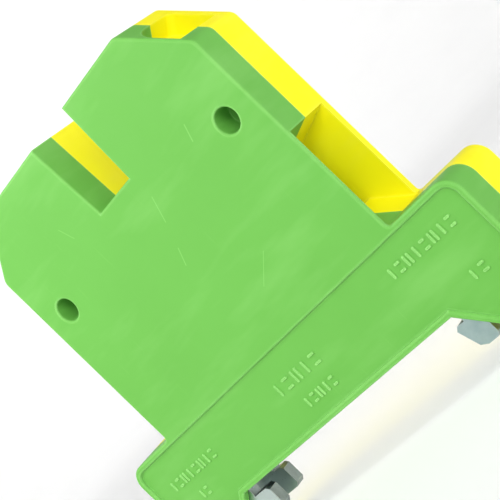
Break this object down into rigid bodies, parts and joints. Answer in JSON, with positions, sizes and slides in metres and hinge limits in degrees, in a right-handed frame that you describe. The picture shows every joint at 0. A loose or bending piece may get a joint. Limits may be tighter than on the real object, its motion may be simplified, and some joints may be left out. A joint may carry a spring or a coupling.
{
  "type": "rail terminal block",
  "caption": "Green and yellow protective-earth screw terminal block that clamps on a 35 mm top-hat rail, with a wire entry on each side.",
  "frame": {"origin": "centre of the rail seat, where the top of the rail's flanges touches the foot", "axes": "+X along the block from the sliding jaw to the fixed hook, +Y along the rail from the green half to the yellow half, +Z away from the rail towards the screws"},
  "size_m": [0.0568, 0.0104, 0.0465],
  "materials": {
    "green_moulding": "satin moulded polyamide, fine scratches",
    "yellow_moulding": "satin moulded polyamide",
    "bar_metal": "tinned copper alloy, dull",
    "plated_steel": "zinc plated",
    "screw_steel": "zinc plated, bright",
    "foot_steel": "bluish zinc plated",
    "jaw_steel": "bluish zinc plated, darker"
  },
  "bodies": {
    "housing": {"green_housing_half": "green_moulding", "yellow_housing_half": "yellow_moulding", "current_bar": "bar_metal", "rail_foot": "foot_steel", "screw_washer": "plated_steel"},
    "clamping_yoke_left": {"clamping_yoke_left": "plated_steel"},
    "clamping_yoke_right": {"clamping_yoke_right": "plated_steel"},
    "clamp_screw_left": {"clamp_screw_left": "screw_steel"},
    "clamp_screw_right": {"clamp_screw_right": "screw_steel"},
    "rail_screw": {"rail_screw": "screw_steel"},
    "rail_nut": {"rail_nut": "plated_steel"},
    "rail_jaw": {"rail_jaw": "jaw_steel"}
  },
  "joints": [
    {"name": "clamping_yoke_left_rise", "type": "slide", "parent": "housing", "child": "clamping_yoke_left", "axis": [0, 0, 1], "range_m": [0, 0.0035]},
    {"name": "clamp_screw_left_turn", "type": "hinge", "parent": "housing", "child": "clamp_screw_left", "pos_m": [-0.0095, 0, 0.027], "axis": [0, 0, -1], "range_deg": [0, 1801]},
    {"name": "clamping_yoke_right_rise", "type": "slide", "parent": "housing", "child": "clamping_yoke_right", "axis": [0, 0, 1], "range_m": [0, 0.0035]},
    {"name": "clamp_screw_right_turn", "type": "hinge", "parent": "housing", "child": "clamp_screw_right", "pos_m": [0.0095, 0, 0.027], "axis": [0, 0, -1], "range_deg": [0, 1801]},
    {"name": "rail_jaw_slide", "type": "slide", "parent": "housing", "child": "rail_jaw", "axis": [0.7071, 0, 0.7071], "range_m": [-0.00337, 0.0002]},
    {"name": "rail_nut_rise", "type": "slide", "parent": "housing", "child": "rail_nut", "axis": [0, 0, 1], "range_m": [-0.00239, 0.00015]},
    {"name": "rail_screw_turn", "type": "hinge", "parent": "housing", "child": "rail_screw", "pos_m": [0, 0, 0.02], "axis": [0, 0, -1], "range_deg": [-1226, 74]}
  ],
  "couplings": [
    {"joint": "clamp_screw_left_turn", "follows": "clamping_yoke_left_rise", "rad_per_m": 8976},
    {"joint": "clamp_screw_right_turn", "follows": "clamping_yoke_right_rise", "rad_per_m": 8976},
    {"joint": "rail_nut_rise", "follows": "rail_jaw_slide", "ratio": 0.70711},
    {"joint": "rail_screw_turn", "follows": "rail_jaw_slide", "rad_per_m": 6347}
  ]
}
